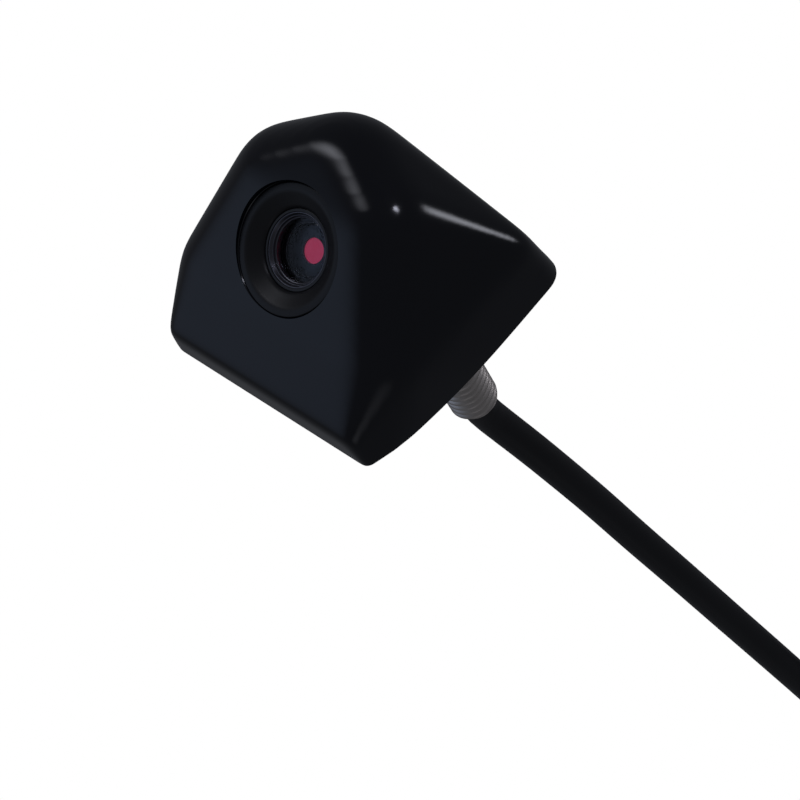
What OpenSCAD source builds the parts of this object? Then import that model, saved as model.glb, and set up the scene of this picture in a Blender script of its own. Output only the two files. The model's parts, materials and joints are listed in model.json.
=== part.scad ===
// Surface-mount backup camera: a wedge-shaped die-cast body on a hollow M8 stud, with its
// lens looking out of the sloped front, and a pigtail that ends in a waterproof plug.
// Origin: the stud's axis at the mounting face. +Z away from the panel, the lens faces -Y.

/* [Body] */
// Width of the body along its front bottom edge
base_w = 38.9; // [36:0.1:46]
// Front bottom edge to the stud's axis
front_reach = 26; // [24:0.1:30]
// Stud's axis to the rear bottom edge
rear_reach = 11.1; // [10:0.1:15]
// How far each side opens out towards the rear
side_flare = 4.36; // [2:0.01:6]
// How far each side bows outwards at mid-length
side_bow = 1; // [0:0.1:2]
// Radius of the two front vertical corners
front_corner_r = 1.3; // [1:0.1:3]
// Radius of the two rear vertical corners
rear_corner_r = 3.3; // [2:0.1:6]
// Height of the upright skirt at the front
front_skirt_h = 5.35; // [4.8:0.05:7]
// Height of the upright skirt at the rear
rear_skirt_h = 7.95; // [6:0.05:9]
// Draft of the skirt, measured at its top
skirt_draft = 1.65; // [1:0.05:2]
// Radius of the soft edge round the sloped face
edge_r = 7.3; // [6:0.1:8]
// Radius of the arch that closes the face at the top
arch_r = 4; // [3:0.1:7]
// Height of that arch's centre above the lens axis, up the face
arch_up = 7.2; // [6.5:0.1:8]
// Half the spacing of the face's two lower corners
low_corner_x = 14; // [12:0.1:15]
// Radius of the two rounded humps of the back
hump_r = 8.4; // [7:0.05:9.5]
// Half the spacing of the two humps
hump_x = 8.5; // [7:0.1:10]
// Thickness of the cast wall
wall_t = 2; // [1.6:0.1:2.4]

/* [Lens] */
// Slope of the face against the mounting face
face_tilt = 34; // [30:0.5:40]
// Lens axis ahead of the stud, where it leaves the face
lens_reach = 11.1; // [9:0.1:13]
// Lens axis above the mounting face, at the face
lens_h = 17.6; // [17:0.1:19]
// Radius of the round insert that carries the lens
insert_r = 8.55; // [8:0.05:9]
// Depth of that insert
insert_t = 4.5; // [4:0.1:4.8]
// Radius of the opening at the bottom of its funnel
mouth_r = 5.35; // [5:0.05:5.6]
// Depth of the funnel
funnel_t = 1.3; // [0.8:0.1:1.8]
// Radius of the front glass
glass_r = 4.9; // [4.4:0.05:4.95]
// Radius of the hole in the aperture stop
aperture_r = 1.65; // [1:0.05:2]

/* [Stud] */
// Outer radius of the M8 stud over its thread
stud_r = 3.95; // [3.9:0.01:4]
// Length of stud below the mounting face
stud_l = 40.6; // [30:0.1:50]
// Radius of the undercut between the thread and the flange
undercut_r = 3.4; // [3.3:0.05:3.6]
// Radius of the stud's flange inside the body
flange_r = 6.5; // [5.5:0.1:7]
// Thickness of the flange
flange_t = 1.6; // [1.2:0.1:2]

/* [Base] */
// Thickness of the rubber mounting pad
pad_t = 1; // [0.8:0.1:1.2]
// Thickness of the base plate
plate_t = 1.6; // [1.4:0.1:1.8]
// Thickness of the gasket above it
gasket_t = 0.6; // [0.5:0.1:0.8]
// Width of the rim round the base plate
rim_w = 2.2; // [2:0.1:2.5]
// Radius of the four base screws
screw_r = 1; // [0.9:0.05:1.1]

/* [Boards] */
// Thickness of both circuit boards
board_t = 1; // [0.8:0.1:1.2]
// Width of the sensor board
sensor_board_w = 25; // [24:0.5:26]
// Width of the power board
power_board_w = 21; // [20:0.5:22]
// Height of the power board above the base plate
pillar_h = 6; // [5.8:0.1:6.4]

/* [Cable and nut] */
// Radius of the cable
cable_r = 2.75; // [2.5:0.05:2.8]
// Radius of the coil, at the middle of a turn
coil_r = 28; // [28:1:33]
// Turns in the coil
coil_turns = 3; // [2:1:5]
// Width of the hexagon nut across its flats
nut_af = 13; // [12.5:0.5:14]
// Height of the hexagon nut
nut_h = 6.5; // [5:0.1:8]
// Radius of the plug
plug_r = 5.5; // [5.2:0.1:6]
// Length of the plug
plug_l = 24; // [22:1:28]

/* [Hidden] */
$fn = 64;
fit = 0.05;                                  // radial clearance between round pieces
loose = 0.1;                                 // clearance of plates in their recess
ball_fn = 32;
// heights above the mounting face
plate_z = pad_t;
gasket_z = plate_z + plate_t;
ledge_z = gasket_z + gasket_t;
power_z = gasket_z + pillar_h;
stud_top = gasket_z + flange_t;
// depths below the face, along the lens axis
face_board_z = -9.5;
holder_top = -insert_t - loose;
holder_step = -8;
barrel_front = -funnel_t - 0.2;
glass_seat = -4;
ring_front = -2.2;
glass_rim = -3.2;
spacer_t = 0.3;
second_z = -5.2;
filter_z = second_z - 0.3;
rear_z = -7;
bore_r = insert_r + fit;
barrel_r = mouth_r - fit;
post_x = 10.6;
post_r = 1.7;
boss_r = insert_r + 1.65;
seal_t = 0.7;
cable_bore = cable_r + fit;
seal_r = cable_r + 0.55;
cable_top = stud_top + 0.8;
pin_step = 1.6;
plug_pin_r = 0.5;
// the cable's way from the body to its coil
route = [
  [0, 0, cable_top], [0, 0, -12], [0, 0, -28], [0, 0, -41], [0.5, 0.3, -45], [1.7, 0.8, -48.5],
  [4.2, 1.6, -54], [6.9, 2.3, -59.5], [11.7, 3.5, -70], [17.2, 4.5, -81.6], [23, 5.6, -93.4],
  [29.2, 6.6, -105.5], [35.7, 7.6, -117.8], [41.8, 8.5, -129.5], [45.8, 9.1, -138],
  [48.5, 9.6, -147], [49.8, 9.9, -157], [50, 10, -166], [50, 10, -172]];
coil_start = route[len(route) - 1];
coil_y = coil_start[1] + coil_r;
coil_z = coil_start[2];
coil_w = (coil_turns + 1) * 2 * cable_r;
tail_x = coil_start[0] + coil_turns * 2 * cable_r;
tail_l = 60;
boot_z = coil_z - tail_l;
boot_l = 20;
plug_z = boot_z - boot_l;
collar_r = 4.6;
shell_r = plug_r - 1.3;
shell_t = 11;
insert_disc_t = 3;
washer_t = 1.6;
spring_t = 2;

// ---- helpers ----
module tube(r_out, r_in, h) {
  difference() {
    cylinder(r = r_out, h = h);
    translate([0, 0, -1]) cylinder(r = r_in, h = h + 2);
  }
}

module at_lens(z = 0) {
  translate([0, -lens_reach, lens_h]) rotate([face_tilt, 0, 0]) translate([0, 0, z]) children();
}

function corner(x, y, r, from) = [for (k = [0:6]) [x + r * cos(from + 15 * k), y + r * sin(from + 15 * k)]];
function half_w(k) = base_w / 2 + side_flare * k + side_bow * 4 * k * (1 - k);
body_l = front_reach + rear_reach;
right_side = [for (k = [1:3]) [half_w(k / 4), body_l * k / 4 - front_reach]];
rear_w = base_w / 2 + side_flare;
// outline of the body on the mounting face
footprint = concat(
  corner(base_w / 2 - front_corner_r, front_corner_r - front_reach, front_corner_r, -90),
  right_side,
  corner(rear_w - rear_corner_r, rear_reach - rear_corner_r, rear_corner_r, 0),
  corner(rear_corner_r - rear_w, rear_reach - rear_corner_r, rear_corner_r, 90),
  [for (k = [2:-1:0]) [-right_side[k][0], right_side[k][1]]],
  corner(front_corner_r - base_w / 2, front_corner_r - front_reach, front_corner_r, 180));

module plate(inset, z, t) {
  translate([0, 0, z]) linear_extrude(t) offset(delta = -inset) polygon(footprint);
}

// the body's form, drawn in by d for the hollow inside it
module form(d, skirt_d) {
  hull() {
    for (s = [-1, 1], top = [0, 1]) {
      drawn = skirt_d + top * (skirt_draft - (d > 0 ? 1 : 0));
      translate([s * (base_w / 2 - front_corner_r - drawn), front_corner_r + skirt_d - front_reach,
        top * front_skirt_h]) cylinder(r = front_corner_r, h = 0.01, $fn = 24);
      translate([s * (rear_w - rear_corner_r - drawn), rear_reach - rear_corner_r - drawn,
        top * rear_skirt_h]) cylinder(r = rear_corner_r, h = 0.01, $fn = 32);
      for (k = [0.25, 0.5, 0.75])
        translate([s * (half_w(k) - 1 - drawn), body_l * k - front_reach,
          top * (front_skirt_h + (rear_skirt_h - front_skirt_h) * k)])
          cylinder(r = 1, h = 0.01, $fn = 16);
    }
    at_lens(-edge_r) {
      for (a = [0:30:180])
        translate([arch_r * cos(a), arch_up + arch_r * sin(a), 0]) sphere(edge_r - d, $fn = ball_fn);
      for (s = [-1, 1]) translate([s * low_corner_x, -8.3, 0]) sphere(edge_r - d, $fn = ball_fn);
    }
    for (s = [-1, 1]) {
      translate([s * hump_x, -2.1, 14.7]) sphere(hump_r - d, $fn = ball_fn);
    }
  }
}

module below(z) {
  translate([0, 0, z - 50]) cube([120, 120, 100], center = true);
}

module base_screw_places() {
  for (s = [-1, 1]) {
    translate([s * 15.2, -19.5, 0]) children();
    translate([s * 17.2, 3.5, 0]) children();
  }
}

module pillar_places() {
  for (s = [-1, 1]) translate([s * 8.6, 2, 0]) children();
}

// ---- body ----
module housing() {
  color([0.04, 0.045, 0.06]) difference() {
    union() {
      difference() {
        form(0, 0);
        difference() {
          form(wall_t, rim_w + 1.2);
          below(ledge_z);
        }
      }
      intersection() {
        form(0, 0);
        union() {
          at_lens(-insert_t - seal_t - 0.8) cylinder(r = boss_r, h = insert_t + seal_t);
          for (s = [-1, 1])
            at_lens(face_board_z) translate([s * post_x, 0, 0]) cylinder(r = post_r, h = 8);
          base_screw_places() translate([0, 0, ledge_z]) cylinder(r = 2.5, h = 5);
        }
      }
    }
    below(0);
    plate(rim_w, -1, ledge_z + 1);
    at_lens(-insert_t - seal_t) cylinder(r = bore_r, h = 20);
    at_lens(-insert_t - seal_t - 4) cylinder(r = insert_r - 1.4, h = 5);
    base_screw_places() translate([0, 0, 0]) cylinder(r = screw_r, h = 7.5, $fn = 32);
    for (s = [-1, 1])
      at_lens(face_board_z - 1) translate([s * post_x, 0, 0]) cylinder(r = 0.8, h = 5, $fn = 32);
  }
}

// ---- lens ----
module lens_insert() {
  color([0.06, 0.06, 0.07]) at_lens() rotate_extrude(convexity = 4)
    polygon([[mouth_r, -insert_t], [insert_r, -insert_t], [insert_r, -0.25], [insert_r - 0.25, 0],
      [insert_r - 0.9, 0], [mouth_r + 0.35, -funnel_t + 0.15], [mouth_r, -funnel_t - 0.15]]);
}

module insert_seal() {
  color([0.08, 0.08, 0.08]) at_lens(-insert_t - seal_t) tube(insert_r, insert_r - 1.3, seal_t);
}

module lens_barrel() {
  color([0.09, 0.09, 0.1]) at_lens() rotate_extrude(convexity = 4)
    polygon([[glass_r, barrel_front], [barrel_r - 0.15, barrel_front],
      [barrel_r, barrel_front - 0.15], [barrel_r, holder_step], [2.6, holder_step],
      [2.6, rear_z], [3.4, rear_z], [3.4, second_z], [4.2, second_z], [4.2, glass_seat],
      [glass_r, glass_seat]]);
}

module lens_ring() {
  color([0.5, 0.5, 0.52]) at_lens() rotate_extrude()
    polygon([[4.15, glass_rim], [glass_r - 0.02, glass_rim], [glass_r - 0.02, barrel_front - 0.1],
      [4.7, barrel_front - 0.1], [4.15, ring_front]]);
}

module front_lens() {
  color([0.75, 0.8, 0.85]) at_lens() rotate_extrude()
    polygon(concat([[0, glass_seat], [glass_r - 0.02, glass_seat], [glass_r - 0.02, glass_rim]],
      [for (k = [0:10]) [4.1 * cos(9 * k), glass_rim + 0.6 * sin(9 * k)]]));
}

module lens_spacer() {
  color([0.07, 0.07, 0.07]) at_lens(glass_seat - spacer_t) tube(4.18, 3.5, spacer_t);
}

module second_lens() {
  color([0.7, 0.78, 0.85]) at_lens() rotate_extrude()
    polygon(concat([[0, second_z], [4.18, second_z], [4.18, glass_seat - spacer_t]],
      [for (k = [0:8]) [3.4 * cos(11.25 * k), glass_seat - spacer_t - 0.3 * sin(11.25 * k)]]));
}

module aperture_stop() {
  color([0.03, 0.03, 0.03]) at_lens(filter_z) tube(3.38, aperture_r, 0.3);
}

module ir_filter() {
  color([0.75, 0.25, 0.35]) at_lens(filter_z - 0.4) cylinder(r = 3.38, h = 0.4);
}

module rear_lens() {
  color([0.7, 0.78, 0.85]) at_lens(rear_z) cylinder(r1 = 3, r2 = 3.38, h = filter_z - 0.4 - rear_z);
}

module lens_holder() {
  color([0.1, 0.1, 0.1]) difference() {
    union() {
      at_lens(face_board_z) translate([-7, -7, 0]) cube([14, 14, holder_step - face_board_z]);
      at_lens(holder_step) cylinder(r = 6.6, h = holder_top - holder_step);
    }
    at_lens(holder_step) cylinder(r = barrel_r + fit, h = 6);
    at_lens(face_board_z - 1) translate([-4, -4, 0]) cube([8, 8, 4]);
    for (s = [-1, 1])
      at_lens(face_board_z - 1) translate([s * 5.7, s * 5.7, 0]) cylinder(r = 0.7, h = 2.2, $fn = 24);
  }
}

module holder_screws() {
  color([0.7, 0.7, 0.7]) for (s = [-1, 1]) at_lens() translate([s * 5.7, s * 5.7, 0]) {
    translate([0, 0, face_board_z - board_t - 0.7]) cylinder(r = 1.2, h = 0.7, $fn = 24);
    translate([0, 0, face_board_z - board_t]) cylinder(r = 0.68, h = board_t + 1.1, $fn = 24);
  }
}

// ---- electronics ----
module image_sensor() {
  color([0.15, 0.18, 0.16]) at_lens(face_board_z) translate([-3, -3, 0]) cube([6, 6, 0.8]);
}

module sensor_board() {
  color([0.05, 0.3, 0.15]) difference() {
    at_lens(face_board_z - board_t)
      translate([-sensor_board_w / 2, -6.5, 0]) cube([sensor_board_w, 14.5, board_t]);
    for (s = [-1, 1]) at_lens(face_board_z - 2) {
      translate([s * post_x, 0, 0]) cylinder(r = 0.9, h = 4, $fn = 32);
      translate([s * 5.7, s * 5.7, 0]) cylinder(r = 0.72, h = 4, $fn = 24);
    }
  }
}

module board_screws() {
  color([0.7, 0.7, 0.7]) for (s = [-1, 1]) at_lens() translate([s * post_x, 0, 0]) {
    translate([0, 0, face_board_z - board_t - 0.8]) cylinder(r = 1.5, h = 0.8, $fn = 32);
    translate([0, 0, face_board_z - board_t]) cylinder(r = 0.78, h = board_t + 3.5, $fn = 32);
  }
}

// underside of the sloped sensor board at a given y
function under_board(y) =
  lens_h + (y + lens_reach) * tan(face_tilt) + (face_board_z - board_t) / cos(face_tilt);

module board_connector() {
  color([0.85, 0.82, 0.7]) rotate([90, 0, 90]) translate([0, 0, -4]) linear_extrude(8)
    polygon([[-1.4, power_z + board_t], [0.8, power_z + board_t],
      [0.8, under_board(0.8)], [-1.4, under_board(-1.4)]]);
}

module power_board() {
  color([0.05, 0.3, 0.15]) difference() {
    translate([-power_board_w / 2, -1.8, power_z]) cube([power_board_w, 7, board_t]);
    pillar_places() translate([0, 0, power_z - 1]) cylinder(r = 0.9, h = 4, $fn = 32);
  }
}

module board_pillars() {
  color([0.75, 0.6, 0.3]) pillar_places() difference() {
    translate([0, 0, gasket_z]) cylinder(r = 1.6, h = pillar_h, $fn = 32);
    translate([0, 0, power_z - 4]) cylinder(r = 0.8, h = 5, $fn = 32);
  }
}

module pillar_screws() {
  color([0.7, 0.7, 0.7]) pillar_places() {
    translate([0, 0, power_z + board_t]) cylinder(r = 1.5, h = 0.9, $fn = 32);
    translate([0, 0, power_z - 3.5]) cylinder(r = 0.78, h = 3.5 + board_t, $fn = 32);
  }
}

module wire_socket() {
  color([0.9, 0.9, 0.85]) translate([-4, -1.5, power_z - 2.2]) cube([8, 4, 2.2]);
}

module conductors() {
  color([0.8, 0.2, 0.15]) for (a = [45:90:315])
    translate([1.2 * cos(a), 1.2 * sin(a), cable_top])
      cylinder(r = 0.55, h = power_z - 2.2 - cable_top, $fn = 24);
}

// ---- base ----
module base_gasket() {
  color([0.1, 0.1, 0.1]) difference() {
    plate(rim_w + loose, gasket_z, gasket_t);
    plate(rim_w + 1.1, gasket_z - 1, gasket_t + 2);
  }
}

module base_plate() {
  color([0.55, 0.55, 0.57]) difference() {
    plate(rim_w + loose, plate_z, plate_t);
    translate([0, 0, -1]) cylinder(r = stud_r + fit, h = 10);
    base_screw_places() {
      translate([0, 0, -1]) cylinder(r = screw_r + loose, h = 10, $fn = 32);
      translate([0, 0, 0]) cylinder(r = 2, h = plate_z + 0.8, $fn = 32);
    }
  }
}

module base_screws() {
  color([0.6, 0.6, 0.6]) base_screw_places() {
    translate([0, 0, plate_z]) cylinder(r = 1.95, h = 0.8, $fn = 32);
    translate([0, 0, plate_z + 0.8]) cylinder(r = screw_r - 0.02, h = 5.2, $fn = 32);
  }
}

module mounting_pad() {
  color([0.07, 0.07, 0.07]) difference() {
    plate(rim_w + loose, 0, pad_t);
    translate([0, 0, -1]) cylinder(r = stud_r + 0.2, h = 4);
  }
}

module threaded_stud() {
  color([0.55, 0.53, 0.5]) difference() {
    union() {
      translate([0, 0, gasket_z]) cylinder(r = flange_r, h = flange_t);
      translate([0, 0, -stud_l]) cylinder(r = stud_r, h = stud_l);
      translate([0, 0, -1]) cylinder(r = undercut_r, h = gasket_z + 1.5);
    }
    translate([0, 0, -stud_l - 1]) cylinder(r = cable_bore, h = stud_l + 20);
    translate([0, 0, stud_top - 2.4]) cylinder(r = seal_r + 0.02, h = 5);
  }
}

module stud_seal() {
  color([0.1, 0.1, 0.1]) translate([0, 0, stud_top - 2.4]) tube(seal_r, cable_r + 0.02, 2.4);
}

// ---- cable ----
function unit(v) = v / norm(v);
function heading(p, i) = unit(p[min(i + 1, len(p) - 1)] - p[max(i - 1, 0)]);
// smooth positions between the route's points
function between(p, i, t) = let(
    a = p[max(i - 1, 0)], b = p[i], c = p[i + 1], d = p[min(i + 2, len(p) - 1)])
  0.5 * (2 * b + (c - a) * t + (2 * a - 5 * b + 4 * c - d) * t * t
    + (3 * b - a - 3 * c + d) * t * t * t);
function smooth(p, n) = concat(
  [for (i = [0:len(p) - 2], k = [0:n - 1]) between(p, i, k / n)], [p[len(p) - 1]]);
function ring(p, i, r, sides) = let(d = heading(p, i), u = unit(cross([0, 1, 0], d)), v = cross(d, u))
  [for (k = [0:sides - 1]) p[i] + r * (cos(360 * k / sides) * u + sin(360 * k / sides) * v)];

module swept(p, r, sides) {
  n = len(p);
  polyhedron(
    points = [for (i = [0:n - 1]) each ring(p, i, r, sides)],
    faces = concat(
      [[for (k = [0:sides - 1]) sides - 1 - k]],
      [for (i = [0:n - 2], k = [0:sides - 1]) let(m = (k + 1) % sides)
        [i * sides + k, i * sides + m, (i + 1) * sides + m, (i + 1) * sides + k]],
      [[for (k = [0:sides - 1]) (n - 1) * sides + k]]));
}

module cable() {
  color([0.06, 0.06, 0.07]) swept(smooth(route, 2), cable_r, 10);
}

module cable_coil() {
  color([0.06, 0.06, 0.07])
    translate([coil_start[0] - cable_r, coil_y, coil_z]) rotate([0, 90, 0]) rotate_extrude(convexity = 4)
      translate([coil_r - cable_r, 0]) square([2 * cable_r, coil_w]);
}

module cable_tie() {
  color([0.12, 0.12, 0.12])
    translate([coil_start[0] - cable_r + coil_w / 2, coil_y + coil_r, coil_z - 1.8]) difference() {
      union() {
        translate([-coil_w / 2 - 1.2, -cable_r - 1.2, 0]) cube([coil_w + 2.4, 2 * cable_r + 2.4, 3.6]);
        translate([-2.6, cable_r + 1, -0.6]) cube([5.2, 4, 4.8]);
      }
      translate([-coil_w / 2 - 0.1, -cable_r - 0.25, -1]) cube([coil_w + 0.2, 2 * cable_r + 0.3, 9]);
    }
}

module at_tail(z) {
  translate([tail_x, coil_start[1], z]) children();
}

module cable_tail() {
  color([0.06, 0.06, 0.07]) at_tail(plug_z + 2) cylinder(r = cable_r, h = coil_z - plug_z - 2, $fn = 24);
}

// ---- plug ----
module plug_boot() {
  color([0.08, 0.08, 0.08]) at_tail(plug_z) difference() {
    rotate_extrude() polygon([[0, 0], [plug_r, 0], [plug_r - 0.4, 3], [collar_r - 0.9, 14],
      [collar_r - 0.9, boot_l - 3], [collar_r, boot_l - 3], [collar_r, boot_l], [0, boot_l]]);
    translate([0, 0, 2]) cylinder(r = cable_r + fit, h = boot_l);
  }
}

module plug_body() {
  color([0.07, 0.07, 0.07]) at_tail(plug_z - plug_l) difference() {
    union() {
      cylinder(r = plug_r - 0.1, h = plug_l);
      for (k = [0:3]) translate([0, 0, plug_l - 3 - 2.2 * k]) cylinder(r = plug_r + 0.4, h = 1.2);
    }
    translate([0, 0, -1]) cylinder(r = shell_r, h = shell_t + insert_disc_t + 1);
    translate([0, 0, 4]) tube(plug_r + 1, plug_r - 0.8, 1.6);
  }
}

module pin_places() {
  for (a = [45:90:315]) translate([pin_step * cos(a), pin_step * sin(a), 0]) children();
}

module plug_insert() {
  color([0.85, 0.85, 0.8]) at_tail(plug_z - plug_l + shell_t) difference() {
    cylinder(r = shell_r - 0.02, h = insert_disc_t);
    translate([0, 0, -1]) pin_places() cylinder(r = plug_pin_r, h = 9, $fn = 24);
  }
}

module plug_pins() {
  color([0.85, 0.7, 0.3]) at_tail(plug_z - plug_l + shell_t - 5.5)
    pin_places() cylinder(r = plug_pin_r - 0.01, h = 5.5 + insert_disc_t, $fn = 24);
}

module plug_seal() {
  color([0.7, 0.2, 0.1]) at_tail(plug_z - plug_l + 4.05) tube(plug_r + 0.3, plug_r - 0.78, 1.5);
}

// ---- loose fixings kept on the cable ----
module flat_washer() {
  color([0.7, 0.7, 0.72]) at_tail(boot_z) tube(8, 4.2, washer_t);
}

module spring_washer() {
  color([0.65, 0.65, 0.67]) at_tail(boot_z + washer_t) difference() {
    tube(6.6, 4.1, spring_t);
    translate([3, -0.4, -1]) cube([6, 0.8, spring_t + 2]);
  }
}

module hex_nut() {
  color([0.68, 0.67, 0.64]) at_tail(boot_z + washer_t + spring_t) difference() {
    intersection() {
      cylinder(r = nut_af / 2 / cos(30), h = nut_h, $fn = 6);
      rotate_extrude() polygon([[0, 0], [nut_af / 2, 0], [nut_af / 2 + 1, 0.6],
        [nut_af / 2 + 1, nut_h - 0.6], [nut_af / 2, nut_h], [0, nut_h]]);
    }
    translate([0, 0, -1]) cylinder(r = 3.4, h = nut_h + 2);
  }
}

housing();
lens_insert();
insert_seal();
lens_barrel();
lens_ring();
front_lens();
lens_spacer();
second_lens();
aperture_stop();
ir_filter();
rear_lens();
lens_holder();
holder_screws();
image_sensor();
sensor_board();
board_screws();
board_connector();
power_board();
board_pillars();
pillar_screws();
wire_socket();
conductors();
base_gasket();
base_plate();
base_screws();
mounting_pad();
threaded_stud();
stud_seal();
cable();
cable_coil();
cable_tie();
cable_tail();
plug_boot();
plug_body();
plug_insert();
plug_pins();
plug_seal();
flat_washer();
spring_washer();
hex_nut();
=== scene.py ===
"""Wedge-shaped backup camera on a hollow threaded stud, with its coiled pigtail."""
import json
import math

import bmesh
import bpy
from mathutils import Matrix, Vector


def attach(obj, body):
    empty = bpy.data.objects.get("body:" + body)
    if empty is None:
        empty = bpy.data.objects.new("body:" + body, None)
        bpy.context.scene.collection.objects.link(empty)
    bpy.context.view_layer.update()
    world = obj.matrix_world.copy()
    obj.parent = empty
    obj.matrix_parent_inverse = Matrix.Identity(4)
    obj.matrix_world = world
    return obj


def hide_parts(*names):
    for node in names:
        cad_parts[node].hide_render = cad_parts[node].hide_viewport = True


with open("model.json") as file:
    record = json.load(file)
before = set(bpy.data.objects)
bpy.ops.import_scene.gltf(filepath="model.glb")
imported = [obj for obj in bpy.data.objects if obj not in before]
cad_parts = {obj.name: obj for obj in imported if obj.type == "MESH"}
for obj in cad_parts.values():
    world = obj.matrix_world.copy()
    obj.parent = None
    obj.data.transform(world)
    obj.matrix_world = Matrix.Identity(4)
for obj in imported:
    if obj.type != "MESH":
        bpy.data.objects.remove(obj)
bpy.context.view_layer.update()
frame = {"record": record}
bpy.context.scene.view_settings.view_transform = "Standard"
MM = 0.001

# ---- sizes repeated from the part's source, in millimetres ----
BASE_W, FRONT, REAR, FLARE, BOW = 38.9, 26.0, 11.1, 4.36, 1.0
FRONT_R, REAR_R, FRONT_SKIRT, REAR_SKIRT, DRAFT = 1.3, 3.3, 5.35, 7.95, 1.65
EDGE_R, ARCH_R, ARCH_UP, LOW_X, LOW_DOWN = 7.3, 4.0, 7.2, 14.0, 8.3
HUMP = (8.5, -2.1, 14.7, 8.4)
WALL, RIM, LEDGE = 2.0, 2.2, 3.2
TILT, LENS_REACH, LENS_H = 34.0, 11.1, 17.6
INSERT_R, INSERT_T, MOUTH_R, FUNNEL = 8.55, 4.5, 5.35, 1.3
STUD_R, STUD_L, PITCH, FLANGE_R = 3.95, 40.6, 1.4, 6.5
CABLE_R, COIL_R, TURNS, TAIL_L, BOOT_L = 2.75, 28.0, 3, 60.0, 20.0
ROUTE = [
    (0, 0, -20), (0, 0, -28), (0, 0, -41), (0.5, 0.3, -45), (1.7, 0.8, -48.5),
    (4.2, 1.6, -54), (6.9, 2.3, -59.5), (11.7, 3.5, -70), (17.2, 4.5, -81.6), (23, 5.6, -93.4),
    (29.2, 6.6, -105.5), (35.7, 7.6, -117.8), (41.8, 8.5, -129.5), (45.8, 9.1, -138),
    (48.5, 9.6, -147), (49.8, 9.9, -157), (50, 10, -166), (50, 10, -172)]

LENS = Matrix.Translation((0, -LENS_REACH, LENS_H)) @ Matrix.Rotation(math.radians(TILT), 4, "X")
UNDERCUT_R, UNDERCUT_Z, FLANGE_Z, FLANGE_TOP = 3.4, 0.6, 2.6, 4.2
SEAL_R, SEAL_Z = 3.32, 1.8           # pocket for the stud's inner seal
THREAD_DEPTH = 0.62
FOOT = 4.0                           # how far the form runs below the base before it is trimmed
VOXEL = 0.6                          # grid of the cast form's skin
EASE_STEPS = 38                      # rounds of smoothing on the cast form
EASE_FROM, EASE_OVER, EASE_LEAST = 1.0, 6.0, 0.05
POCKET_GAP = 0.05                    # between the insert and its pocket
BODY_CENTRE = Vector((0, -8, 10))


# ---- camera ----
def add_camera():
    azimuth, elevation, roll = math.radians(69.4), math.radians(55.0), math.radians(34.5)
    back = Vector((math.sin(azimuth) * math.cos(elevation),
                   -math.cos(azimuth) * math.cos(elevation), math.sin(elevation)))
    level = Vector((math.cos(azimuth), math.sin(azimuth), 0))
    up0 = back.cross(level)
    right = math.cos(roll) * level - math.sin(roll) * up0
    up = back.cross(right)
    target = Vector((12.28, -14.82, -5.32))
    place = (target + back * 239.0) * MM
    data = bpy.data.cameras.new("camera")
    data.sensor_width = 36
    data.lens = 18 / math.tan(math.radians(12.53))
    data.clip_start = 0.01
    cam = bpy.data.objects.new("camera", data)
    turn = Matrix((right, up, back)).transposed().to_4x4()
    cam.matrix_world = Matrix.Translation(place) @ turn
    bpy.context.scene.collection.objects.link(cam)
    bpy.context.scene.camera = cam
    return right, up, back


# ---- mesh helpers ----
def make(name, bm, sharp=35):
    for f in bm.faces:
        f.smooth = True
    for e in bm.edges:
        if len(e.link_faces) == 2 and e.calc_face_angle(0) > math.radians(sharp):
            e.smooth = False
    me = bpy.data.meshes.new(name)
    bm.to_mesh(me)
    bm.free()
    ob = bpy.data.objects.new(name, me)
    bpy.context.scene.collection.objects.link(ob)
    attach(ob, "camera")
    return ob


def lathe(bm, profile, segs=96, matrix=None):
    """Turn (radius, height) points in mm about Z; a radius of 0 closes on the axis."""
    rings = []
    for r, z in profile:
        if r < 1e-6:
            rings.append([bm.verts.new((0, 0, z * MM))])
        else:
            rings.append([bm.verts.new((r * MM * math.cos(2 * math.pi * k / segs),
                                        r * MM * math.sin(2 * math.pi * k / segs), z * MM))
                          for k in range(segs)])
    pairs = list(zip(rings, rings[1:])) + [(rings[-1], rings[0])]
    for a, b in pairs:
        if len(a) == 1 and len(b) == 1:
            continue
        for k in range(segs):
            m = (k + 1) % segs
            if len(a) == 1:
                bm.faces.new((a[0], b[m], b[k]))
            elif len(b) == 1:
                bm.faces.new((a[k], a[m], b[0]))
            else:
                bm.faces.new((a[k], a[m], b[m], b[k]))
    if matrix is not None:
        verts = [v for ring in rings for v in ring]
        scaled = matrix.copy()
        scaled.translation = scaled.translation * MM
        bmesh.ops.transform(bm, matrix=scaled, verts=verts)
    bmesh.ops.recalc_face_normals(bm, faces=bm.faces)


def rounded(profile, r=0.12, steps=3):
    """Round each corner of a closed (radius, height) outline with a small arc."""
    out = []
    n = len(profile)
    for i in range(n):
        p, a, b = Vector(profile[i]), Vector(profile[i - 1]), Vector(profile[(i + 1) % n])
        if p.x < 1e-6:
            out.append(tuple(p))
            continue
        ra = min(r, (a - p).length * 0.4, (b - p).length * 0.4)
        s, e = p + (a - p).normalized() * ra, p + (b - p).normalized() * ra
        for k in range(steps + 1):
            t = k / steps
            out.append(tuple(s.lerp(p, t).lerp(p.lerp(e, t), t)))
    return out


def ball(c, r, n=40):
    pts = []
    for i in range(n // 2 + 1):
        a = math.pi * i / (n // 2)
        for k in range(n):
            b = 2 * math.pi * k / n
            pts.append(Vector(c) + r * Vector((math.sin(a) * math.cos(b), math.sin(a) * math.sin(b),
                                               math.cos(a))))
    return pts


def disc(x, y, z, r, n=48):
    return [Vector((x + r * math.cos(2 * math.pi * k / n), y + r * math.sin(2 * math.pi * k / n), z))
            for k in range(n)]


def half_width(k):
    return BASE_W / 2 + FLARE * k + BOW * 4 * k * (1 - k)


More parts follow.
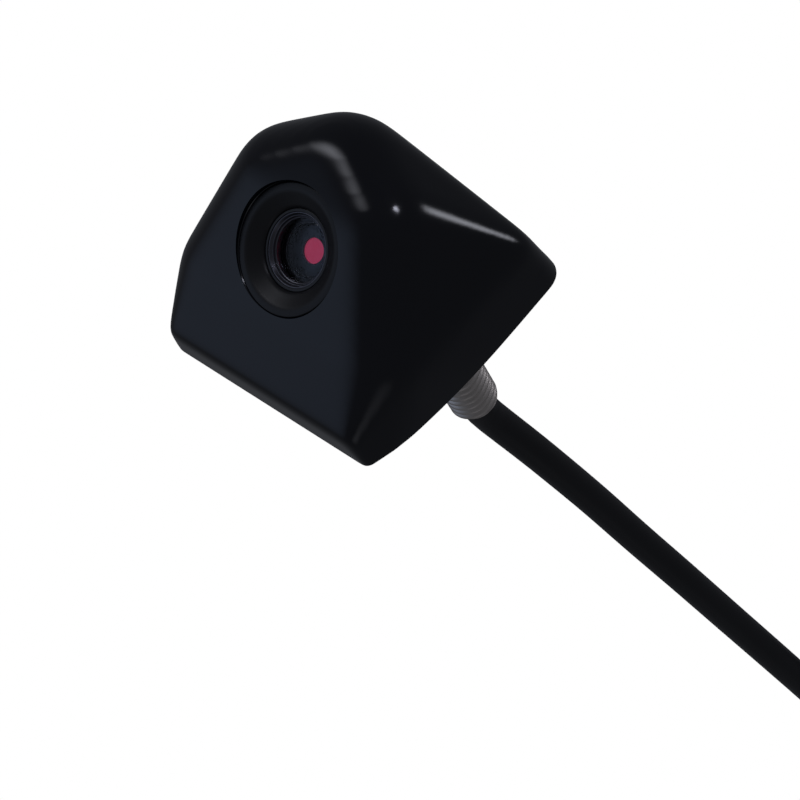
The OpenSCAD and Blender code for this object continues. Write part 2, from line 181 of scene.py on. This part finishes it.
def form_points(d=0.0, skirt=0.0, foot=0.0):
    """Points whose hull is the body's form, drawn in by d for the hollow, run down by foot."""
    pts = []
    long = FRONT + REAR
    rear_w = BASE_W / 2 + FLARE
    for s in (-1, 1):
        for top in (0, 1):
            drawn = skirt + top * (DRAFT - (1 if d > 0 else 0))
            pts += disc(s * (BASE_W / 2 - FRONT_R - drawn), FRONT_R + skirt - FRONT,
                        top * FRONT_SKIRT - (1 - top) * foot, FRONT_R)
            pts += disc(s * (rear_w - REAR_R - drawn), REAR - REAR_R - drawn,
                        top * REAR_SKIRT - (1 - top) * foot, REAR_R)
            for i in range(1, 16):
                k = i / 16
                z = top * (FRONT_SKIRT + (REAR_SKIRT - FRONT_SKIRT) * k) - (1 - top) * foot
                if 0.12 < k < 0.88:
                    pts.append(Vector((s * (half_width(k) - drawn), long * k - FRONT, z)))
        pts += ball(LENS @ Vector((s * LOW_X, -LOW_DOWN, -EDGE_R)), EDGE_R - d)
        pts += ball((s * HUMP[0], HUMP[1], HUMP[2]), HUMP[3] - d)
    for i in range(17):
        a = math.pi * i / 16
        pts += ball(LENS @ Vector((ARCH_R * math.cos(a), ARCH_UP + ARCH_R * math.sin(a), -EDGE_R)),
                    EDGE_R - d, 32)
    return pts


def hull(name, pts):
    bm = bmesh.new()
    for p in pts:
        bm.verts.new(p * MM)
    out = bmesh.ops.convex_hull(bm, input=bm.verts)
    spare = [v for v in out["geom_interior"] + out["geom_unused"] if isinstance(v, bmesh.types.BMVert)]
    bmesh.ops.delete(bm, geom=list(set(spare)), context="VERTS")
    bmesh.ops.recalc_face_normals(bm, faces=bm.faces)
    me = bpy.data.meshes.new(name)
    bm.to_mesh(me)
    bm.free()
    ob = bpy.data.objects.new(name, me)
    bpy.context.scene.collection.objects.link(ob)
    return ob


def apply_modifiers(ob):
    bpy.context.view_layer.update()
    graph = bpy.context.evaluated_depsgraph_get()
    me = bpy.data.meshes.new_from_object(ob.evaluated_get(graph))
    ob.modifiers.clear()
    old = ob.data
    ob.data = me
    bpy.data.meshes.remove(old)


def cut(ob, tool):
    m = ob.modifiers.new("cut", "BOOLEAN")
    m.operation, m.solver, m.object = "DIFFERENCE", "EXACT", tool
    apply_modifiers(ob)
    me = tool.data
    bpy.data.objects.remove(tool)
    bpy.data.meshes.remove(me)


def tool_from(bm):
    bmesh.ops.recalc_face_normals(bm, faces=bm.faces)
    me = bpy.data.meshes.new("tool")
    bm.to_mesh(me)
    bm.free()
    ob = bpy.data.objects.new("tool", me)
    bpy.context.scene.collection.objects.link(ob)
    return ob


# ---- housing ----
def footprint(inset):
    pts = []

    def corner(x, y, r, start):
        for k in range(9):
            a = math.radians(start + 90 * k / 8)
            pts.append((x + r * math.cos(a), y + r * math.sin(a)))

    rear_w = BASE_W / 2 + FLARE
    f, r = max(FRONT_R - inset, 0.2), REAR_R - inset
    corner(BASE_W / 2 - inset - f, f + inset - FRONT, f, -90)
    for i in (1, 2, 3):
        pts.append((half_width(i / 4) - inset, (FRONT + REAR) * i / 4 - FRONT))
    corner(rear_w - inset - r, REAR - inset - r, r, 0)
    corner(-(rear_w - inset - r), REAR - inset - r, r, 90)
    for i in (3, 2, 1):
        pts.append((-(half_width(i / 4) - inset), (FRONT + REAR) * i / 4 - FRONT))
    corner(-(BASE_W / 2 - inset - f), f + inset - FRONT, f, 180)
    return pts


def prism(outline, z0, z1):
    bm = bmesh.new()
    low = [bm.verts.new((x * MM, y * MM, z0 * MM)) for x, y in outline]
    high = [bm.verts.new((x * MM, y * MM, z1 * MM)) for x, y in outline]
    bm.faces.new(low[::-1])
    bm.faces.new(high)
    for i in range(len(low)):
        j = (i + 1) % len(low)
        bm.faces.new((low[i], low[j], high[j], high[i]))
    return bm


def build_housing():
    shell = hull("housing_shell", form_points(foot=FOOT))
    exact = shell.copy()
    exact.data = shell.data.copy()
    bpy.context.scene.collection.objects.link(exact)
    m = shell.modifiers.new("remesh", "REMESH")
    m.mode, m.voxel_size = "VOXEL", VOXEL * MM
    m = shell.modifiers.new("snap", "SHRINKWRAP")
    m.target, m.wrap_method = exact, "NEAREST_SURFACEPOINT"
    apply_modifiers(shell)
    bpy.data.objects.remove(exact)
    # the cast form's edges are eased more the higher they lie
    easing = shell.vertex_groups.new(name="easing")
    for v in shell.data.vertices:
        share = (v.co.z / MM - EASE_FROM) / EASE_OVER
        easing.add([v.index], min(1.0, max(EASE_LEAST, share)), "REPLACE")
    m = shell.modifiers.new("ease", "SMOOTH")
    m.factor, m.iterations, m.vertex_group = 0.5, EASE_STEPS, "easing"
    m = shell.modifiers.new("fine", "SUBSURF")
    m.levels = m.render_levels = 1
    apply_modifiers(shell)
    below = prism([(-60, -60), (60, -60), (60, 60), (-60, 60)], -20, 0)
    cut(shell, tool_from(below))
    hollow = hull("hollow", form_points(WALL, RIM + 1.2))
    for v in hollow.data.vertices:
        v.co.z = max(v.co.z, LEDGE * MM)
    cut(shell, hollow)
    cut(shell, tool_from(prism(footprint(RIM), -1, LEDGE)))
    bm = bmesh.new()
    lathe(bm, [(0, -7), (INSERT_R - 1.4, -7), (INSERT_R - 1.4, -INSERT_T - 0.7),
               (INSERT_R + POCKET_GAP, -INSERT_T - 0.7), (INSERT_R + POCKET_GAP, -0.18),
               (INSERT_R + 0.2, 0.02),
               (INSERT_R + 0.2, 6), (0, 6)], 128, LENS)
    cut(shell, tool_from(bm))
    me = shell.data
    bm = bmesh.new()
    bm.from_mesh(me)
    bmesh.ops.remove_doubles(bm, verts=bm.verts, dist=0.002 * MM)
    for f in bm.faces:
        f.smooth = True
    for e in bm.edges:
        e.smooth = not (len(e.link_faces) == 2 and e.calc_face_angle(0) > math.radians(32))
    bm.to_mesh(me)
    bm.free()
    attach(shell, "camera")
    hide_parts("housing")
    return shell


# ---- lens ----
def dome_outline(r, z, rise, steps):
    """Quarter of an ellipse from the rim at height z to the axis, rise higher."""
    quarter = math.pi / 2
    return [(r * math.cos(quarter * k / steps), z + rise * math.sin(quarter * k / steps))
            for k in range(steps)] + [(0, z + rise)]


def build_lens():
    made = {}

    def turned(name, node, profile, r=0.1, segs=96):
        bm = bmesh.new()
        lathe(bm, rounded(profile, r) if r else profile, segs, LENS)
        ob = make(name, bm)
        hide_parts(node)
        made[node] = ob

    ridge = 0.9
    turned("insert_ring", "lens_insert", [
        (MOUTH_R, -INSERT_T), (INSERT_R, -INSERT_T), (INSERT_R, 0), (INSERT_R - ridge, 0),
        (INSERT_R - ridge - 0.35, -0.12), (MOUTH_R + 0.9, -0.75), (MOUTH_R + 0.3, -FUNNEL + 0.2),
        (MOUTH_R, -FUNNEL - 0.15)], 0.16, 128)
    turned("barrel", "lens_barrel", [
        (4.9, -1.5), (5.3, -1.5), (5.3, -8), (2.6, -8), (2.6, -7), (3.4, -7), (3.4, -5.2),
        (4.2, -5.2), (4.2, -4), (4.9, -4)], 0.08, 128)
    turned("front_ring", "lens_ring", [
        (4.15, -3.2), (4.88, -3.2), (4.88, -1.6), (4.72, -1.6), (4.5, -2.0), (4.42, -2.0),
        (4.3, -2.35), (4.15, -2.4)], 0.05, 128)
    dome = dome_outline(4.1, -3.2, 0.6, 16)
    turned("front_glass", "front_lens",
           [(0, -4), (4.88, -4), (4.88, -3.2)] + dome, 0, 96)
    dome = dome_outline(3.4, -4.3, -0.3, 12)
    turned("inner_glass", "second_lens",
           [(0, -5.2), (4.18, -5.2), (4.18, -4.3)] + dome, 0, 96)
    return made


# ---- stud ----
def thread_radius(turn):
    """Outer radius at a fraction of a turn along the pitch: a round crest and a round root."""
    t = (turn % 1.0) * 2 * math.pi
    wave = 0.5 + 0.5 * math.cos(t)
    return STUD_R - THREAD_DEPTH * (1 - wave ** 0.75)


def build_stud():
    bm = bmesh.new()
    segs, bore = 80, CABLE_R + 0.05
    bottom = -STUD_L
    steps = int((UNDERCUT_Z - bottom) / (PITCH / 14))
    rings = []

    def ring_of(z, radius):
        return [bm.verts.new((radius(k) * MM * math.cos(2 * math.pi * k / segs),
                              radius(k) * MM * math.sin(2 * math.pi * k / segs), z * MM))
                for k in range(segs)]

    rings.append(ring_of(bottom, lambda k: bore))
    rings.append(ring_of(bottom, lambda k: bore + 0.12))
    for i in range(steps + 1):
        z = bottom + (UNDERCUT_Z - bottom) * i / steps
        start = 3.25 + min(1.0, (z - bottom) / 0.75) * 0.8
        rings.append(ring_of(z, lambda k: min(thread_radius(z / PITCH - k / segs), start)))
    for z, r in ((UNDERCUT_Z, UNDERCUT_R), (FLANGE_Z, UNDERCUT_R), (FLANGE_Z, FLANGE_R),
                 (FLANGE_TOP, FLANGE_R), (FLANGE_TOP, SEAL_R), (SEAL_Z, SEAL_R), (SEAL_Z, bore)):
        rings.append(ring_of(z, lambda k: r))
    rings.append(rings[0])
    for a, b in zip(rings, rings[1:]):
        for k in range(segs):
            m = (k + 1) % segs
            bm.faces.new((a[k], a[m], b[m], b[k]))
    bmesh.ops.recalc_face_normals(bm, faces=bm.faces)
    ob = make("stud", bm, sharp=50)
    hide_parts("threaded_stud")
    return ob


# ---- cable ----
def smooth_path(points, steps):
    pts = [Vector(p) for p in points]
    out = []
    for i in range(len(pts) - 1):
        a, b, c, d = pts[max(i - 1, 0)], pts[i], pts[i + 1], pts[min(i + 2, len(pts) - 1)]
        for k in range(steps):
            t = k / steps
            out.append(0.5 * (2 * b + (c - a) * t + (2 * a - 5 * b + 4 * c - d) * t * t
                              + (3 * b - a - 3 * c + d) * t ** 3))
    return out + [pts[-1]]


def cable_path():
    path = smooth_path(ROUTE, 6)
    start = path[-1]
    per_turn = 96
    for i in range(1, TURNS * per_turn + 1):
        a = 2 * math.pi * i / per_turn
        path.append(Vector((start.x + 2 * CABLE_R * i / per_turn,
                            start.y + COIL_R * (1 - math.cos(a)), start.z - COIL_R * math.sin(a))))
    end = path[-1]
    tail = TAIL_L + BOOT_L - 2
    path += [Vector((end.x, end.y, end.z - tail * k / 16)) for k in range(1, 17)]
    return path


def sweep(name, path, radius, sides=20):
    bm = bmesh.new()
    uv = bm.loops.layers.uv.new("along")
    rings, run, side = [], 0.0, None
    runs = []
    for i, p in enumerate(path):
        d = (path[min(i + 1, len(path) - 1)] - path[max(i - 1, 0)]).normalized()
        if side is None:
            side = d.orthogonal().normalized()
        side = (side - d * side.dot(d)).normalized()
        other = d.cross(side)
        if i:
            run += (p - path[i - 1]).length
        runs.append(run)
        rings.append([bm.verts.new((p + radius * (math.cos(2 * math.pi * k / sides) * side
                                                  + math.sin(2 * math.pi * k / sides) * other)) * MM)
                      for k in range(sides)])
    for i in range(len(rings) - 1):
        for k in range(sides):
            m = (k + 1) % sides
            f = bm.faces.new((rings[i][k], rings[i][m], rings[i + 1][m], rings[i + 1][k]))
            for loop, (u, v) in zip(f.loops, ((k, i), (k + 1, i), (k + 1, i + 1), (k, i + 1))):
                loop[uv].uv = (u / sides, runs[v] * 0.05)
    bm.faces.new(rings[0][::-1])
    bm.faces.new(rings[-1])
    bmesh.ops.recalc_face_normals(bm, faces=bm.faces)
    return make(name, bm, sharp=60)


def build_cable():
    path = cable_path()
    ob = sweep("cable_run", path, CABLE_R)
    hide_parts("cable", "cable_coil", "cable_tail")
    return ob


# ---- materials ----
def new_material(name):
    mat = bpy.data.materials.new(name)
    mat.use_nodes = True
    tree = mat.node_tree
    tree.nodes.clear()
    out = tree.nodes.new("ShaderNodeOutputMaterial")
    shader = tree.nodes.new("ShaderNodeBsdfPrincipled")
    tree.links.new(shader.outputs[0], out.inputs[0])
    return mat, tree, shader


def noise(tree, scale, detail=3.0, rough=0.5):
    where = tree.nodes.new("ShaderNodeTexCoord")
    tex = tree.nodes.new("ShaderNodeTexNoise")
    tex.inputs["Scale"].default_value = scale
    tex.inputs["Detail"].default_value = detail
    tex.inputs["Roughness"].default_value = rough
    tree.links.new(where.outputs["Object"], tex.inputs["Vector"])
    return tex.outputs["Fac"]


def ramp(tree, source, low, high, a=0.3, b=0.7):
    node = tree.nodes.new("ShaderNodeMapRange")
    node.inputs["From Min"].default_value = a
    node.inputs["From Max"].default_value = b
    node.inputs["To Min"].default_value = low
    node.inputs["To Max"].default_value = high
    tree.links.new(source, node.inputs["Value"])
    return node.outputs["Result"]


def two_tone(tree, source, one, two, a=0.3, b=0.7):
    node = tree.nodes.new("ShaderNodeValToRGB")
    node.color_ramp.elements[0].position = a
    node.color_ramp.elements[0].color = (*one, 1)
    node.color_ramp.elements[1].position = b
    node.color_ramp.elements[1].color = (*two, 1)
    tree.links.new(source, node.inputs["Fac"])
    return node.outputs["Color"]


def bump(tree, shader, height, strength, distance=0.0001):
    node = tree.nodes.new("ShaderNodeBump")
    node.inputs["Strength"].default_value = strength
    node.inputs["Distance"].default_value = distance
    tree.links.new(height, node.inputs["Height"])
    tree.links.new(node.outputs["Normal"], shader.inputs["Normal"])


def surface(name, one, two, rough=(0.3, 0.4), metallic=0.0, grain=900, bump_by=0.1,
            specular=0.5, mottle=60, painted_glow=0.0):
    """A finish with slightly mottled colour, uneven roughness, a fine surface grain and, when asked, a
    painted glow (emission) in its own colour.
    """
    mat, tree, shader = new_material(name)
    shader.inputs["Metallic"].default_value = metallic
    shader.inputs["Specular IOR Level"].default_value = specular
    # painted glow: the finish emits light in its own colour, though it is no lamp
    if painted_glow:
        shader.inputs["Emission Color"].default_value = (*one, 1)
        shader.inputs["Emission Strength"].default_value = painted_glow
    tree.links.new(two_tone(tree, noise(tree, mottle), one, two), shader.inputs["Base Color"])
    tree.links.new(ramp(tree, noise(tree, mottle * 2.3), *rough), shader.inputs["Roughness"])
    if bump_by:
        bump(tree, shader, noise(tree, grain, 4), bump_by)
    return mat


def glass(name, tint, rough=0.0):
    mat, tree, shader = new_material(name)
    shader.inputs["Transmission Weight"].default_value = 1.0
    shader.inputs["IOR"].default_value = 1.22
    tree.links.new(two_tone(tree, noise(tree, 300), tint, tuple(min(1, c * 1.03) for c in tint)),
                   shader.inputs["Base Color"])
    tree.links.new(ramp(tree, noise(tree, 800), rough, rough + 0.015), shader.inputs["Roughness"])
    return mat


def paint(ob, mat):
    ob.data.materials.clear()
    ob.data.materials.append(mat)


def all_materials():
    return {
        "gloss_black_body": surface("gloss_black", (0.0028, 0.0036, 0.0075), (0.0034, 0.0043, 0.009),
                                    (0.13, 0.16), grain=400, bump_by=0.012, specular=0.5, mottle=30),
        "matt_black_insert": surface("matt_insert", (0.010, 0.010, 0.012), (0.013, 0.013, 0.015),
                                     (0.36, 0.44), grain=2500, bump_by=0.08, specular=0.4),
        "black_rubber": surface("rubber", (0.012, 0.012, 0.012), (0.02, 0.02, 0.02), (0.6, 0.75),
                                grain=1500, bump_by=0.2),
        "anodised_black": surface("anodised", (0.010, 0.010, 0.012), (0.016, 0.016, 0.018),
                                  (0.3, 0.4), grain=3000, bump_by=0.05),
        "lens_ring_grey": surface("ring_grey", (0.10, 0.10, 0.12), (0.14, 0.14, 0.16), (0.25, 0.33),
                                  metallic=0.8, grain=3000, bump_by=0.05),
        "lens_glass": glass("lens_glass", (0.86, 0.89, 0.94)),
        # the red filter is painted with a faint emission glow: painted light on a part that is no lamp
        "red_filter": surface("red_filter", (0.86, 0.06, 0.15), (0.90, 0.08, 0.18), (0.3, 0.36),
                              grain=3000, bump_by=0.02, painted_glow=0.32),
        "black_plastic": surface("black_plastic", (0.012, 0.012, 0.013), (0.02, 0.02, 0.021),
                                 (0.4, 0.5), grain=2500, bump_by=0.15),
        "steel_fixings": surface("steel", (0.50, 0.50, 0.51), (0.60, 0.60, 0.60), (0.25, 0.36),
                                 metallic=1.0, grain=1500, bump_by=0.08),
        "sensor_grey": surface("sensor", (0.03, 0.035, 0.035), (0.05, 0.06, 0.055), (0.1, 0.15)),
        "green_board": surface("board", (0.008, 0.08, 0.03), (0.012, 0.11, 0.045), (0.25, 0.35),
                               grain=1200, bump_by=0.2),
        "cream_plastic": surface("cream", (0.62, 0.58, 0.47), (0.68, 0.64, 0.53), (0.4, 0.5)),
        "brass_pillars": surface("brass", (0.62, 0.42, 0.16), (0.70, 0.50, 0.22), (0.25, 0.35),
                                 metallic=1.0),
        "red_wire": surface("wire", (0.40, 0.02, 0.015), (0.48, 0.03, 0.02), (0.35, 0.45)),
        "aluminium_plate": surface("plate", (0.50, 0.50, 0.52), (0.58, 0.58, 0.60), (0.38, 0.5),
                                   metallic=1.0, grain=900, bump_by=0.2),
        "nickel_stud": surface("nickel", (0.62, 0.57, 0.53), (0.74, 0.69, 0.65), (0.34, 0.46),
                               metallic=1.0, grain=1800, bump_by=0.15),
        "cable_jacket": surface("jacket", (0.006, 0.006, 0.008), (0.009, 0.009, 0.012), (0.34, 0.44),
                                grain=1800, bump_by=0.12, specular=0.5),
        "gold_pins": surface("gold", (0.75, 0.52, 0.18), (0.82, 0.6, 0.25), (0.2, 0.3), metallic=1.0),
        "red_rubber": surface("seal_red", (0.35, 0.03, 0.02), (0.42, 0.04, 0.03), (0.5, 0.6)),
    }


# ---- light and background ----
def fade_edges(data, soft):
    """Let a softbox fall off from its middle to its rim."""
    data.use_nodes = True
    tree = data.node_tree
    emit = next(n for n in tree.nodes if n.type == "EMISSION")
    where = tree.nodes.new("ShaderNodeNewGeometry")
    shift = tree.nodes.new("ShaderNodeVectorMath")
    shift.operation = "SUBTRACT"
    shift.inputs[1].default_value = (0.5, 0.5, 0)
    length = tree.nodes.new("ShaderNodeVectorMath")
    length.operation = "LENGTH"
    fade = tree.nodes.new("ShaderNodeMapRange")
    fade.interpolation_type = "SMOOTHSTEP"
    fade.inputs["From Min"].default_value = 0.5
    fade.inputs["From Max"].default_value = 0.5 - 0.5 * soft
    fade.inputs["To Min"].default_value = 0.0
    fade.inputs["To Max"].default_value = 1.0
    tree.links.new(where.outputs["Parametric"], shift.inputs[0])
    tree.links.new(shift.outputs[0], length.inputs[0])
    tree.links.new(length.outputs["Value"], fade.inputs["Value"])
    tree.links.new(fade.outputs["Result"], emit.inputs["Strength"])


def light(name, place, aim, size, power, colour=(1, 1, 1), size_y=None, soft=1.0):
    data = bpy.data.lights.new(name, "AREA")
    data.shape = "RECTANGLE" if size_y else "DISK"
    data.size = size
    if size_y:
        data.size_y = size_y
    data.energy = power
    data.color = colour
    if soft:
        fade_edges(data, soft)
    ob = bpy.data.objects.new(name, data)
    back = (Vector(place) - Vector(aim)).normalized()
    ob.matrix_world = Matrix.Translation(place) @ back.to_track_quat("Z", "Y").to_matrix().to_4x4()
    bpy.context.scene.collection.objects.link(ob)
    return ob


def add_world(level):
    world = bpy.data.worlds.new("studio")
    world.use_nodes = True
    tree = world.node_tree
    tree.nodes.clear()
    out = tree.nodes.new("ShaderNodeOutputWorld")
    soft = tree.nodes.new("ShaderNodeBackground")
    soft.inputs["Color"].default_value = (0.86, 0.90, 1.0, 1)
    soft.inputs["Strength"].default_value = level
    white = tree.nodes.new("ShaderNodeBackground")
    white.inputs["Color"].default_value = (1, 1, 1, 1)
    white.inputs["Strength"].default_value = 1.0
    path = tree.nodes.new("ShaderNodeLightPath")
    mix = tree.nodes.new("ShaderNodeMixShader")
    tree.links.new(path.outputs["Is Camera Ray"], mix.inputs[0])
    tree.links.new(soft.outputs[0], mix.inputs[1])
    tree.links.new(white.outputs[0], mix.inputs[2])
    tree.links.new(mix.outputs[0], out.inputs["Surface"])
    bpy.context.scene.world = world


def add_studio(right, up, back):
    """Softboxes placed by the way they show in the gloss: along the camera's own axes."""
    centre = BODY_CENTRE * MM

    def at(x, y, z, far):
        return centre + (right * x + up * y + back * z).normalized() * far

    blue, pale = (0.55, 0.70, 1.0), (0.88, 0.90, 1.0)
    light("left_panel", at(-0.97, -0.1, 0.12, 0.8), centre, 1.3, 1.8, blue, 1.3)
    light("top_strip", at(-0.66, 0.62, 0.40, 0.8), centre, 0.34, 2.0, pale, 0.7)
    light("small_spot", at(0.23, 0.62, 0.75, 0.8), centre, 0.085, 0.45, (0.82, 0.84, 1.0), 0.10, 0.2)
    light("shoulder_glow", at(0.80, 0.57, 0.20, 0.8), centre, 0.26, 1.1, pale, 0.22)
    light("fill", at(0.1, -0.9, 0.4, 1.0), centre, 0.8, 0.5, pale, 0.8)


def main():
    right, up, back = add_camera()
    cable = build_cable()
    housing = build_housing()
    lens = build_lens()
    stud = build_stud()
    finishes = all_materials()
    for part in frame["record"]["subparts"]:
        ob = bpy.data.objects.get(part["node"])
        if ob is not None and ob.type == "MESH":
            paint(ob, finishes[part["material_slot"]])
    paint(cable, finishes["cable_jacket"])
    paint(housing, finishes["gloss_black_body"])
    paint(stud, finishes["nickel_stud"])
    slots = {p["node"]: p["material_slot"] for p in frame["record"]["subparts"]}
    for node, ob in lens.items():
        paint(ob, finishes[slots[node]])
    add_world(0.10)
    add_studio(right, up, back)


main()
